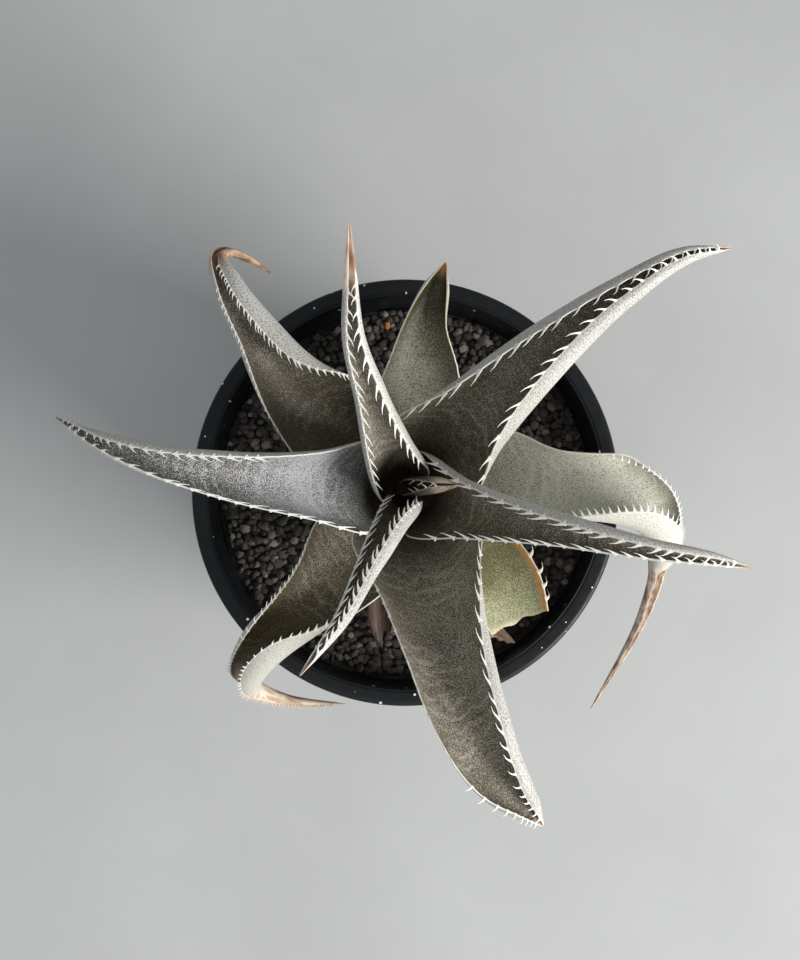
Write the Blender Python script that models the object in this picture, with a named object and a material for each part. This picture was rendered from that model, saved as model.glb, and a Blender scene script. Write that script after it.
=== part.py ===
"""Potted bromeliad: a spiny rosette of channelled leaves on a short stem, in a round plastic pot.

Metres, +Z up. The origin is the middle of the pot's underside, on the surface it stands on.
The leaves are set out from the stem's axis and from the surface of the gravel.
"""

import math

import bmesh
import bpy
import numpy as np
from mathutils import Vector

MM = 0.001
GAP = 0.3 * MM  # clearance between pieces that touch
SEAT_GAP = 0.7 * MM  # the same over the sloping stem, measured straight up

# Pot: a turned shell with a flat lip that turns down outside, and drain holes in its floor.
POT_HEIGHT = 125 * MM
RIM_RADIUS = 75 * MM
LIP_WIDTH = 6 * MM
LIP_DEPTH = 9 * MM
LIP_BEVEL = 0.9 * MM
BASE_RADIUS = 54 * MM
BASE_BEVEL = 2 * MM
FLOOR = 2.4 * MM
WALL = 1.6 * MM
DRAIN_RADIUS = 5 * MM
DRAIN_CIRCLE = 34 * MM
DRAIN_COUNT = 8
POT_SIDES = 64

# Gravel: it fills the pot to a little under the lip.
GRAVEL_DROP = 15 * MM
GRAVEL_LUMP = 1.1 * MM
GRAVEL_RINGS = 9
GRAVEL_SIDES = 48

# Leaves: thickness at the middle, at the edge and of a dry one, and how finely they are divided.
LEAF_MID = 2.0 * MM
LEAF_EDGE = 0.7 * MM
LEAF_DRY = 1.0 * MM
LEAF_TIP = 0.35 * MM
LEAF_STEPS = 20
LEAF_SEGMENTS = 8
SMALL_STEPS = 11
SMALL_SEGMENTS = 6
FINE_STEPS = 240

# Stem: a squat cone above the gravel and a plug below it. The leaves' bases nest round it in
# rings, one leaf's thickness and a little room apart.
RING_START = 4.8 * MM
RING_ROOM = 0.4 * MM
RING_LAST = 7
STEM_SHOULDER = 2 * MM
STEM_RISE = 30 * MM
STEM_TOP_RADIUS = 3.2 * MM
STEM_DEPTH = 16 * MM
STEM_ROOT_RADIUS = 14 * MM
STEM_SIDES = 32

RING_STEP = LEAF_MID + RING_ROOM
STEM_RADIUS = RING_START + RING_LAST * RING_STEP + STEM_SHOULDER
GRAVEL_TOP = POT_HEIGHT - GRAVEL_DROP
rim = RIM_RADIUS / MM  # leaves that hang outside the pot are set out from its rim
bore = (RIM_RADIUS - LIP_WIDTH) / MM  # and those that lie low inside it from its bore

# Each leaf's base is curled round the stem on its ring, counted outwards, and wraps it by so
# many degrees each side. Each row of its way is (reach from the axis, bearing, rise above the
# gravel, half-breadth of the channel, curl of its sides, roll), in millimetres and degrees. A
# curl past 90 turns the margins inwards, and a roll tips the channel to the left as seen from
# the stem.
TINTS = {
    "grey": (0.085, 0.082, 0.062),
    "pale": (0.25, 0.26, 0.19),
    "fresh": (0.2, 0.21, 0.09),
    "dry": (0.3, 0.17, 0.1),
}
LEAF_ROUGHNESS = 0.62
LEAVES = {
    "heart_leaf": dict(
        tint="grey", ring=-1, bearing=0, wrap=140, small=True,
        way=[
            (2.8, 0, 40, 2.5, 150, 0),
            (6.5, 0, 51, 2.4, 150, 0),
            (12, 0, 58, 1.8, 155, 0),
            (18, 0, 61, 0.4, 150, 0),
        ],
    ),
    "leaf_front_upright": dict(
        tint="grey", ring=0, bearing=262, wrap=60,
        way=[
            (8.5, 264, 46, 5.4, 85, 0),
            (17, 254, 70, 4.4, 105, -15),
            (32, 248, 90, 3.3, 120, -25),
            (48, 246, 105, 2.2, 135, -20),
            (66, 242, 114, 0.4, 120, 0),
        ],
    ),
    "leaf_back_upright": dict(
        tint="grey", ring=1, bearing=122, wrap=100,
        way=[
            (10, 121, 40, 9, 96, 0),
            (18, 114, 65, 7, 105, 15),
            (30, 112, 91, 4, 115, 20),
            (47, 110, 113, 2.3, 130, 20),
            (60, 106, 124, 1.3, 140, 10),
            (73, 103, 132, 0.4, 120, 0),
        ],
    ),
    "leaf_right": dict(
        tint="grey", ring=2, bearing=352, wrap=72,
        way=[
            (13, 346, 36, 14, 76, 0),
            (25, 344, 55, 9.2, 88, -12),
            (50, 344.6, 75, 4.6, 105, -25),
            (78, 345, 84, 2.5, 125, -25),
            (98, 346, 83, 1.5, 140, -20),
            (111, 346, 80, 0.4, 120, -10),
        ],
    ),
    "leaf_left": dict(
        tint="grey", ring=3, bearing=180, wrap=58,
        way=[
            (16, 179, 33, 16, 70, 0),
            (35, 177, 55, 10.8, 84, 15),
            (58, 176, 71, 7, 95, 25),
            (81, 174.3, 77, 3.8, 115, 25),
            (98, 172, 75, 2.1, 135, 20),
            (114, 169.3, 68, 0.4, 120, 0),
        ],
    ),
    "leaf_back_right": dict(
        tint="grey", ring=4, bearing=52, wrap=46,
        way=[
            (20, 50, 30, 18.5, 62, 0),
            (38, 45.5, 46, 12.8, 100, 5),
            (68, 43, 62, 7.5, 130, 12),
            (92, 41.3, 70, 3.9, 145, 15),
            (115, 39.2, 70, 2, 150, 10),
            (130, 36, 66, 0.5, 120, 0),
        ],
    ),
    "leaf_front": dict(
        tint="grey", ring=4, bearing=277, wrap=48,
        way=[
            (22, 280, 28, 21, 58, 0),
            (40, 284, 45, 17, 72, -5),
            (58, 285, 56, 13.8, 84, -10),
            (78, 286, 61, 11.6, 90, -14),
            (94, 287.5, 59, 8.6, 105, -14),
            (108, 290, 54, 4.4, 135, -10),
            (120, 292, 48, 0.5, 120, 0),
        ],
    ),
    "leaf_back_left": dict(
        tint="grey", ring=5, bearing=140, wrap=42,
        way=[
            (30, 139, 22, 17, 52, 0),
            (52, 137, 38, 13.5, 80, 5),
            (70, 133.5, 49, 7.4, 110, 15),
            (87, 131.5, 54, 4, 125, 15),
            (97, 129.5, 51, 2, 130, 5),
            (98, 127.2, 46, 1.4, 110, 0),
            (94, 125, 40, 1.2, 110, 0),
            (87, 122, 33, 0.4, 110, 0),
        ],
    ),
    "leaf_right_low": dict(
        tint="pale", ring=5, bearing=0, wrap=42,
        way=[
            (30, 0, 17, 17, 46, 0),
            (50, 358.5, 29, 13.2, 58, 10),
            (66, 356.5, 34, 11, 90, 30),
            (rim + 4, 353, 31, 8.8, 120, 48),
            (rim + 12, 349, 20, 5.4, 140, 35),
            (rim + 17, 344.5, 4, 2.8, 120, 0),
            (rim + 23, 334, -24, 2, 100, 0),
            (rim + 36, 312, -72, 0.4, 100, 0),
        ],
    ),
    "leaf_front_left": dict(
        tint="pale", ring=5, bearing=226, wrap=42,
        way=[
            (30, 230, 18, 16.5, 48, 0),
            (46, 231.5, 27, 12.6, 62, 0),
            (58, 231, 31, 8.6, 102, -15),
            (68, 230, 31, 7, 140, -25),
            (rim + 5, 230, 21, 5, 145, -20),
            (rim + 11, 233, 6, 3.4, 130, -10),
            (rim + 10, 240, -4, 2.4, 110, 0),
            (rim + 4, 254, -8, 0.4, 100, 0),
        ],
    ),
    "leaf_back_short": dict(
        tint="fresh", ring=6, bearing=83, wrap=36,
        way=[
            (28, 83, 14, 15, 40, 0),
            (41, 82, 21, 13, 50, 0),
            (58, 83, 27, 7, 75, 0),
            (72, 81, 30, 3, 100, 0),
            (79, 80, 31, 0.4, 100, 0),
        ],
    ),
    "leaf_front_right_short": dict(
        tint="fresh", ring=6, bearing=322, wrap=28, small=True,
        way=[
            (32, 321, 11, 12, 32, 0),
            (bore - 22, 317, 15, 12.5, 36, 0),
            (bore - 8, 311, 13, 10.5, 40, 0),
        ],
    ),
    "dry_leaf_front": dict(
        tint="dry", ring=RING_LAST, bearing=290, wrap=12, small=True, dry=True,
        way=[
            (34, 294, 5, 4.4, 50, 0),
            (bore - 21, 299, 5.5, 3.4, 60, 0),
            (bore - 11, 303, 5, 2, 80, 0),
            (bore - 3, 306, 5, 0.4, 80, 0),
        ],
    ),
    "dry_leaf_stub": dict(
        tint="dry", ring=RING_LAST, bearing=258, wrap=15, small=True, dry=True,
        way=[
            (30, 258, 5, 5.5, 50, 0),
            (44, 259, 6.5, 4.6, 60, 0),
            (56, 262, 5, 1.5, 70, 0),
        ],
    ),
}


def clear_scene():
    for item in list(bpy.data.objects):
        bpy.data.objects.remove(item, do_unlink=True)


def material(name, color, roughness, metallic=0.0):
    made = bpy.data.materials.new(name)
    made.use_nodes = True
    shader = made.node_tree.nodes["Principled BSDF"]
    shader.inputs["Base Color"].default_value = (*color, 1.0)
    shader.inputs["Roughness"].default_value = roughness
    shader.inputs["Metallic"].default_value = metallic
    made.diffuse_color = (*color, 1.0)
    return made


def add_object(name, bm, finish, sharp=None):
    """Turn a bmesh into a named object with its normals out, smooth but for edges over sharp degrees."""
    bmesh.ops.recalc_face_normals(bm, faces=bm.faces)
    if bm.calc_volume(signed=True) < 0:
        bmesh.ops.reverse_faces(bm, faces=bm.faces)
    mesh = bpy.data.meshes.new(name)
    bm.to_mesh(mesh)
    bm.free()
    mesh.materials.append(finish)
    if sharp is not None:
        mesh.shade_smooth()
        mesh.set_sharp_from_angle(angle=math.radians(sharp))
    made = bpy.data.objects.new(name, mesh)
    bpy.context.collection.objects.link(made)
    return made


def turned(profile, sides):
    """Spin a closed or axis-to-axis profile of (radius, height) points round Z."""
    bm = bmesh.new()
    verts = [bm.verts.new((radius, 0, height)) for radius, height in profile]
    edges = [bm.edges.new(pair) for pair in zip(verts, verts[1:])]
    if profile[0][0] > 0:
        edges.append(bm.edges.new((verts[-1], verts[0])))
    bmesh.ops.spin(
        bm, geom=verts + edges, cent=(0, 0, 0), axis=(0, 0, 1), angle=math.tau,
        steps=sides, use_merge=True, use_duplicate=False,
    )
    bmesh.ops.remove_doubles(bm, verts=bm.verts, dist=0.01 * MM)
    return bm


def wall_radius(height):
    """Outer radius of the pot's tapered wall at a height."""
    top = RIM_RADIUS - LIP_WIDTH + WALL
    return BASE_RADIUS + (top - BASE_RADIUS) * height / POT_HEIGHT


def inner_radius(height):
    return wall_radius(height) - WALL


def build_pot():
    under_top = POT_HEIGHT - WALL
    under_lip = POT_HEIGHT - LIP_DEPTH
    profile = [
        (0, 0),
        (BASE_RADIUS - BASE_BEVEL, 0),
        (wall_radius(BASE_BEVEL), BASE_BEVEL),
        (wall_radius(under_top), under_top),
        (RIM_RADIUS - WALL, under_top),
        (RIM_RADIUS - WALL, under_lip),
        (RIM_RADIUS, under_lip),
        (RIM_RADIUS, POT_HEIGHT - LIP_BEVEL),
        (RIM_RADIUS - LIP_BEVEL, POT_HEIGHT),
        (inner_radius(POT_HEIGHT) + LIP_BEVEL / 2, POT_HEIGHT),
        (inner_radius(POT_HEIGHT - LIP_BEVEL / 2), POT_HEIGHT - LIP_BEVEL / 2),
        (inner_radius(FLOOR), FLOOR),
        (0, FLOOR),
    ]
    pot = add_object("pot", turned(profile, POT_SIDES), material("pot", (0.012, 0.013, 0.016), 0.42), 30)
    cutter_mesh = bmesh.new()
    for index in range(DRAIN_COUNT):
        angle = math.tau * (index + 0.5) / DRAIN_COUNT
        made = bmesh.ops.create_cone(
            cutter_mesh, cap_ends=True, segments=16, radius1=DRAIN_RADIUS, radius2=DRAIN_RADIUS,
            depth=4 * FLOOR,
        )
        spot = (DRAIN_CIRCLE * math.cos(angle), DRAIN_CIRCLE * math.sin(angle), FLOOR / 2)
        bmesh.ops.translate(cutter_mesh, verts=made["verts"], vec=spot)
    cutter = add_object("drain_cutter", cutter_mesh, material("drain_cutter", (1, 0, 0), 0.5))
    cutter.hide_render = True
    cutter.display_type = "WIRE"
    cut = pot.modifiers.new("drain_holes", "BOOLEAN")
    cut.operation = "DIFFERENCE"
    cut.object = cutter
    return pot


def stem_height(radius):
    """Height above the gravel of the stem's cone at a radius."""
    return STEM_RISE * min(1, (STEM_RADIUS - radius) / (STEM_RADIUS - STEM_TOP_RADIUS))


def build_stem():
    profile = [
        (0, GRAVEL_TOP - STEM_DEPTH),
        (STEM_ROOT_RADIUS, GRAVEL_TOP - STEM_DEPTH),
        (STEM_RADIUS, GRAVEL_TOP),
        (STEM_TOP_RADIUS, GRAVEL_TOP + STEM_RISE),
        (0, GRAVEL_TOP + STEM_RISE),
    ]
    return add_object("stem", turned(profile, STEM_SIDES), material("stem", (0.16, 0.11, 0.07), 0.8), 40)


def lump(x, y):
    """A fixed rolling unevenness between -1 and 1."""
    scale = 1 / (5 * MM)
    return 0.5 * math.sin(1.3 * x * scale + 0.7 * math.sin(y * scale)) + 0.5 * math.sin(
        1.1 * y * scale + 0.9 * math.sin(1.2 * x * scale + 1)
    )


def build_gravel():
    pocket = STEM_RADIUS + GAP
    outer = inner_radius(GRAVEL_TOP) - GAP
    floor = FLOOR + GAP
    top = [
        (pocket + (outer - pocket) * step / GRAVEL_RINGS, GRAVEL_TOP) for step in range(GRAVEL_RINGS + 1)
    ]
    profile = [
        (0, GRAVEL_TOP - STEM_DEPTH - GAP),
        (STEM_ROOT_RADIUS + GAP, GRAVEL_TOP - STEM_DEPTH - GAP),
        *top,
        (inner_radius(floor) - GAP, floor),
        (0, floor),
    ]
    bm = turned(profile, GRAVEL_SIDES)
    for vert in bm.verts:
        reach = math.hypot(vert.co.x, vert.co.y)
        if abs(vert.co.z - GRAVEL_TOP) < MM and pocket + MM < reach < outer - MM:
            vert.co.z += GRAVEL_LUMP * lump(vert.co.x, vert.co.y)
    return add_object("gravel", bm, material("gravel", (0.045, 0.036, 0.03), 0.9), 20)


def hermite(values, knots, where):
    """Smooth curve through values at knots, with slopes from the neighbouring rows."""
    slopes = np.gradient(values, knots, axis=0)
    index = np.clip(np.searchsorted(knots, where) - 1, 0, len(knots) - 2)
    span = (knots[index + 1] - knots[index])[:, None]
    t = ((where - knots[index]) / span[:, 0])[:, None]
    return (
        (2 * t**3 - 3 * t**2 + 1) * values[index]
        + (t**3 - 2 * t**2 + t) * span * slopes[index]
        + (3 * t**2 - 2 * t**3) * values[index + 1]
        + (t**3 - t**2) * span * slopes[index + 1]
    )


def leaf_base(spec):
    """A leaf's first row: its ring, and a height that clears the stem at the leaf's own slope."""
    ring = RING_START + spec["ring"] * RING_STEP
    reach, _, rise = spec["way"][0][:3]
    slope = STEM_RISE / (STEM_RADIUS - STEM_TOP_RADIUS)
    seat = stem_height(ring) + SEAT_GAP
    pitch = math.atan2(rise * MM - seat, reach * MM - ring)
    seat += max(0, leaf_thickness(spec) * (math.cos(pitch) - slope * math.sin(pitch)))
    breadth = ring * math.sin(math.radians(min(spec["wrap"], 90)))
    return ring / MM, spec["bearing"], seat / MM, breadth / MM, spec["wrap"], 0


def leaf_thickness(spec):
    return LEAF_DRY if spec.get("dry") else LEAF_MID


def leaf_rows(spec):
    """The leaf's rows in metres and radians as (x, y, z, half-breadth, curl, roll), base first."""
    rows = []
    for reach, bearing, rise, breadth, curl, roll in [leaf_base(spec), *spec["way"]]:
        angle = math.radians(bearing)
        rows.append(
            (
                reach * MM * math.cos(angle),
                reach * MM * math.sin(angle),
                GRAVEL_TOP + rise * MM,
                breadth * MM,
                math.radians(curl),
                math.radians(roll),
            )
        )
    return np.array(rows)


def leaf_stations(spec, steps):
    """Evenly spaced (point, along, across, up, half-breadth, curl, thickness) down a leaf."""
    rows = leaf_rows(spec)
    knots = np.concatenate([[0], np.cumsum(np.linalg.norm(np.diff(rows[:, :3], axis=0), axis=1))])
    fine = hermite(rows, knots, np.linspace(0, knots[-1], FINE_STEPS))
    points = fine[:, :3]
    along = np.gradient(points, axis=0)
    along /= np.linalg.norm(along, axis=1)[:, None]
    angle = math.radians(spec["bearing"])
    across = np.array([-math.sin(angle), math.cos(angle), 0.0])
    travelled = np.concatenate([[0], np.cumsum(np.linalg.norm(np.diff(points, axis=0), axis=1))])
    frames = []
    for tangent in along:
        across = across - across.dot(tangent) * tangent
        across /= np.linalg.norm(across)
        frames.append(across)
    stations = []
    for step in range(steps + 1):
        spot = int(round(np.interp(step / steps * travelled[-1], travelled, np.arange(FINE_STEPS))))
        side = frames[spot]
        up = np.cross(along[spot], side)
        roll = fine[spot, 5]
        turned_side = side * math.cos(roll) - up * math.sin(roll)
        turned_up = up * math.cos(roll) + side * math.sin(roll)
        breadth = max(fine[spot, 3], LEAF_TIP)
        thick = min(leaf_thickness(spec), 0.55 * breadth + 0.3 * LEAF_TIP)
        stations.append((points[spot], turned_side, turned_up, breadth, fine[spot, 4], thick))
    return stations


def build_leaf(name, spec, finish):
    """A closed channelled blade: a grid bent along the leaf's way, then thickened outwards."""
    small = spec.get("small")
    steps = SMALL_STEPS if small else LEAF_STEPS
    segments = SMALL_SEGMENTS if small else LEAF_SEGMENTS
    stations = leaf_stations(spec, steps)
    bm = bmesh.new()
    bmesh.ops.create_grid(bm, x_segments=steps, y_segments=segments, size=0.5)
    inner_verts = list(bm.verts)
    rim_edges = [edge for edge in bm.edges if edge.is_boundary]
    outer = bmesh.ops.duplicate(bm, geom=inner_verts + list(bm.edges) + list(bm.faces))["vert_map"]
    for vert in inner_verts:
        step = int(round((vert.co.x + 0.5) * steps))
        across = 2 * vert.co.y
        point, side, up, breadth, curl, thick = stations[step]
        radius = breadth / math.sin(min(curl, math.pi / 2))
        turn = curl * across
        outward = side * math.sin(turn) - up * math.cos(turn)
        inner = Vector(point + up * radius + outward * radius)
        depth = min(thick, LEAF_EDGE + (thick - LEAF_EDGE) * (1 - abs(across) ** 2.5))
        outer[vert].co = inner + Vector(outward * depth)
        vert.co = inner
    for edge in rim_edges:
        first, second = edge.verts
        bm.faces.new((first, second, outer[second], outer[first]))
    return add_object(name, bm, finish, 60)


clear_scene()
build_pot()
build_gravel()
build_stem()
for leaf_name, leaf_spec in LEAVES.items():
    build_leaf(leaf_name, leaf_spec, material(leaf_name, TINTS[leaf_spec["tint"]], LEAF_ROUGHNESS))
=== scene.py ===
import math
import random

import bmesh
import bpy
import numpy as np
from mathutils import Matrix, Vector


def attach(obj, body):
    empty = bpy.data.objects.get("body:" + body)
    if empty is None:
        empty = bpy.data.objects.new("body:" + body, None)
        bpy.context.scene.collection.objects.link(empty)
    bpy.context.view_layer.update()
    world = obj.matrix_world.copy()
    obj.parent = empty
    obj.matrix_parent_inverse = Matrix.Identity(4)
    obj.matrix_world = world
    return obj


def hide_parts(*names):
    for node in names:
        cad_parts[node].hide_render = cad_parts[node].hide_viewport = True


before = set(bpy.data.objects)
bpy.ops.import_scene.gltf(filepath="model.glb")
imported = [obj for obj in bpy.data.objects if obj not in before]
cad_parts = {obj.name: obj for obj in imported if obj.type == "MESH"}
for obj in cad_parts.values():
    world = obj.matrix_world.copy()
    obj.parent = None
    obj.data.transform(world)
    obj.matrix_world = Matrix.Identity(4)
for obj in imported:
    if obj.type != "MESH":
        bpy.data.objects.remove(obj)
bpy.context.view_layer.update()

mm = 0.001
scene = bpy.context.scene
scene.view_settings.view_transform = "Standard"
mergeReach = 0.005 * mm  # closes a turned profile on its axis


def finishMesh(name, bm, materials, sharp=None):
    mesh = bpy.data.meshes.new(name)
    bm.to_mesh(mesh)
    bm.free()
    for item in materials:
        mesh.materials.append(item)
    mesh.shade_smooth()
    if sharp:
        mesh.set_sharp_from_angle(angle=math.radians(sharp))
    piece = bpy.data.objects.new(name, mesh)
    scene.collection.objects.link(piece)
    return piece


def pointOutwards(bm):
    bmesh.ops.recalc_face_normals(bm, faces=bm.faces)
    if bm.calc_volume(signed=True) < 0:
        bmesh.ops.reverse_faces(bm, faces=bm.faces)


def spinProfile(points, sides):
    bm = bmesh.new()
    verts = [bm.verts.new((r * mm, 0, z * mm)) for r, z in points]
    edges = [bm.edges.new(pair) for pair in zip(verts, verts[1:])]
    bmesh.ops.spin(
        bm, geom=verts + edges, cent=(0, 0, 0), axis=(0, 0, 1), angle=math.tau,
        steps=sides, use_merge=True, use_duplicate=False,
    )
    bmesh.ops.remove_doubles(bm, verts=bm.verts, dist=mergeReach)
    return bm


def shadeSmooth(bm, slot=0):
    for face in bm.faces:
        face.material_index = slot
        face.smooth = True


def addCopy(bm, mesh):
    # the mesh's verts, newly added to a bmesh that has lost none
    bm.from_mesh(mesh)
    bm.verts.ensure_lookup_table()
    return bm.verts[-len(mesh.vertices):]


def joinInto(bm, other):
    mesh = bpy.data.meshes.new("joined")
    other.to_mesh(mesh)
    other.free()
    bm.from_mesh(mesh)
    bpy.data.meshes.remove(mesh)


def keepMesh(name, bm):
    mesh = bpy.data.meshes.new(name)
    bm.to_mesh(mesh)
    bm.free()
    return mesh


# Small helpers for wiring nodes: each returns the output socket that carries its result.
def feed(tree, socket, value):
    if isinstance(value, bpy.types.NodeSocket):
        tree.links.new(value, socket)
    elif value is not None:
        socket.default_value = value


def calc(tree, kind, a, b=None, clamp=False):
    node = tree.nodes.new("ShaderNodeMath")
    node.operation = kind
    node.use_clamp = clamp
    for socket, value in zip(node.inputs, (a, b)):
        feed(tree, socket, value)
    return node.outputs[0]


def blendColour(tree, mask, a, b):
    node = tree.nodes.new("ShaderNodeMix")
    node.data_type = "RGBA"
    feed(tree, node.inputs["Factor"], mask)
    colours = [s for s in node.inputs if s.type == "RGBA"]
    for socket, value in zip(colours, (a, b)):
        bare = isinstance(value, tuple) and len(value) == 3  # a colour given without its alpha
        feed(tree, socket, (*value, 1) if bare else value)
    return [s for s in node.outputs if s.type == "RGBA"][0]


def span(tree, value, low, high, outLow=0.0, outHigh=1.0):
    node = tree.nodes.new("ShaderNodeMapRange")
    node.interpolation_type = "SMOOTHSTEP"
    given = {"Value": value, "From Min": low, "From Max": high, "To Min": outLow, "To Max": outHigh}
    for label, item in given.items():
        feed(tree, node.inputs[label], item)
    return node.outputs["Result"]


def noise(tree, vector, scale, detail=2.0, rough=0.5):
    node = tree.nodes.new("ShaderNodeTexNoise")
    feed(tree, node.inputs["Vector"], vector)
    feed(tree, node.inputs["Scale"], scale)
    node.inputs["Detail"].default_value = detail
    node.inputs["Roughness"].default_value = rough
    return node.outputs["Fac"]


def centred(tree, value, strength):
    return calc(tree, "MULTIPLY", calc(tree, "SUBTRACT", value, 0.5), strength)


def stretch(tree, vector, scale):
    node = tree.nodes.new("ShaderNodeVectorMath")
    node.operation = "MULTIPLY"
    feed(tree, node.inputs[0], vector)
    node.inputs[1].default_value = scale
    return node.outputs[0]


def split(tree, vector):
    node = tree.nodes.new("ShaderNodeSeparateXYZ")
    feed(tree, node.inputs[0], vector)
    return node.outputs


def readAttribute(tree, name, vector=False):
    node = tree.nodes.new("ShaderNodeAttribute")
    node.attribute_name = name
    return node.outputs["Vector" if vector else "Fac"]


def objectPlace(tree):
    return tree.nodes.new("ShaderNodeTexCoord").outputs["Object"]


def newGroup(name, inputs, outputs):
    tree = bpy.data.node_groups.new(name, "ShaderNodeTree")
    for label, kind, value in inputs:
        socket = tree.interface.new_socket(
            name=label, in_out="INPUT", socket_type="NodeSocket" + kind
        )
        if value is not None:
            socket.default_value = value
    for label, kind in outputs:
        tree.interface.new_socket(name=label, in_out="OUTPUT", socket_type="NodeSocket" + kind)
    given, out = tree.nodes.new("NodeGroupInput"), tree.nodes.new("NodeGroupOutput")
    return tree, given.outputs, out.inputs


def useGroup(tree, group, **values):
    node = tree.nodes.new("ShaderNodeGroup")
    node.node_tree = group
    for label, value in values.items():
        feed(tree, node.inputs[label], value)
    return node.outputs


# Scurf: the fine pale scales on the leaves, as a mask of specks of one size and cover.
scurfForm = dict(rough=0.6, cloudSize=130.0, cloud=0.12, bare=0.72, covered=0.42)


def buildScurfGroup():
    form = scurfForm
    tree, given, out = newGroup(
        "scurf",
        [("Place", "Vector", None), ("Size", "Float", 2200.0), ("Cover", "Float", 0.5),
         ("Edge", "Float", 0.08)],
        [("Specks", "Float"), ("Relief", "Float")],
    )
    fine = noise(tree, given["Place"], given["Size"], rough=form["rough"])
    cloud = noise(tree, given["Place"], form["cloudSize"])
    mixed = calc(tree, "ADD", fine, centred(tree, cloud, form["cloud"]))
    drop = calc(tree, "MULTIPLY", given["Cover"], form["covered"])
    gate = calc(tree, "SUBTRACT", form["bare"], drop)
    low = calc(tree, "SUBTRACT", gate, given["Edge"])
    high = calc(tree, "ADD", gate, given["Edge"])
    feed(tree, out["Specks"], span(tree, mixed, low, high))
    feed(tree, out["Relief"], fine)
    return tree


# Bands: faint pale bars across a leaf, a few millimetres apart, that waver and fade.
bandForm = dict(
    waver=(60, 90, 60), waverRough=0.6, swing=0.014, bow=14.0, crest=(0.15, 1.0),
    patch=(45, 45, 45), patchDetail=1.0, patchEdge=(0.38, 0.62),
)


def buildBandGroup():
    form = bandForm
    tree, given, out = newGroup(
        "bands",
        [("Leaf", "Vector", None), ("Pitch", "Float", 0.004), ("Strength", "Float", 1.0)],
        [("Bands", "Float")],
    )
    waver = noise(tree, stretch(tree, given["Leaf"], form["waver"]), 1.0, rough=form["waverRough"])
    along, across, _ = split(tree, given["Leaf"])
    square = calc(tree, "POWER", calc(tree, "ABSOLUTE", across), 2.0)
    bow = calc(tree, "MULTIPLY", square, form["bow"])
    swing = calc(tree, "MULTIPLY", waver, form["swing"])
    reach = calc(tree, "ADD", calc(tree, "ADD", along, bow), swing)
    turns = calc(tree, "DIVIDE", calc(tree, "MULTIPLY", reach, math.tau), given["Pitch"])
    wave = span(tree, calc(tree, "SINE", turns), *form["crest"])
    cloud = noise(tree, stretch(tree, given["Leaf"], form["patch"]), 1.0, form["patchDetail"])
    shown = calc(tree, "MULTIPLY", wave, span(tree, cloud, *form["patchEdge"]))
    feed(tree, out["Bands"], calc(tree, "MULTIPLY", shown, given["Strength"]))
    return tree


# Withering: streaks and blotches of two dead-leaf colours.
witherForm = dict(
    streak=(120, 900, 120), streakDetail=3.0, streakRough=0.6, streakShare=0.6,
    blotch=(160, 260, 160), blotchShare=0.4, edge=(0.38, 0.62),
)


def buildWitherGroup():
    form = witherForm
    tree, given, out = newGroup(
        "wither",
        [("Leaf", "Vector", None), ("Dark", "Color", (0.2, 0.11, 0.06, 1)),
         ("Light", "Color", (0.6, 0.45, 0.32, 1))],
        [("Colour", "Color"), ("Relief", "Float")],
    )
    streak = noise(
        tree, stretch(tree, given["Leaf"], form["streak"]), 1.0, form["streakDetail"],
        form["streakRough"],
    )
    blotch = noise(tree, stretch(tree, given["Leaf"], form["blotch"]), 1.0)
    mixed = calc(
        tree, "ADD", calc(tree, "MULTIPLY", streak, form["streakShare"]),
        calc(tree, "MULTIPLY", blotch, form["blotchShare"]),
    )
    mask = span(tree, mixed, *form["edge"])
    feed(tree, out["Colour"], blendColour(tree, mask, given["Dark"], given["Light"]))
    feed(tree, out["Relief"], streak)
    return tree


# Dust: scattered pale specks on a dark surface.
largestSpeck = 0.2  # radius, as a share of the distance between specks


def buildDustGroup():
    tree, given, out = newGroup(
        "dust",
        [("Place", "Vector", None), ("Size", "Float", 180.0), ("Amount", "Float", 0.1)],
        [("Dust", "Float")],
    )
    cells = tree.nodes.new("ShaderNodeTexVoronoi")
    feed(tree, cells.inputs["Vector"], given["Place"])
    feed(tree, cells.inputs["Scale"], given["Size"])
    chosen = tree.nodes.new("ShaderNodeSeparateColor")
    feed(tree, chosen.inputs[0], cells.outputs["Color"])
    keep = calc(tree, "LESS_THAN", chosen.outputs[0], given["Amount"])
    size = calc(tree, "MULTIPLY", chosen.outputs[1], largestSpeck)
    dot = calc(tree, "LESS_THAN", cells.outputs["Distance"], size)
    feed(tree, out["Dust"], calc(tree, "MULTIPLY", keep, dot))
    return tree


scurf, bands = buildScurfGroup(), buildBandGroup()
wither, dust = buildWitherGroup(), buildDustGroup()


def newMaterial(name, roughness, colour):
    made = bpy.data.materials.new(name)
    made.use_nodes = True
    shader = made.node_tree.nodes["Principled BSDF"]
    shader.inputs["Roughness"].default_value = roughness
    shader.inputs["Base Color"].default_value = (*colour, 1)
    made.diffuse_color = (*colour, 1)
    return made, made.node_tree, shader


def addBump(tree, shader, height, strength, distance):
    bump = tree.nodes.new("ShaderNodeBump")
    bump.inputs["Strength"].default_value = strength
    bump.inputs["Distance"].default_value = distance
    feed(tree, bump.inputs["Height"], height)
    feed(tree, shader.inputs["Normal"], bump.outputs["Normal"])


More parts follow.
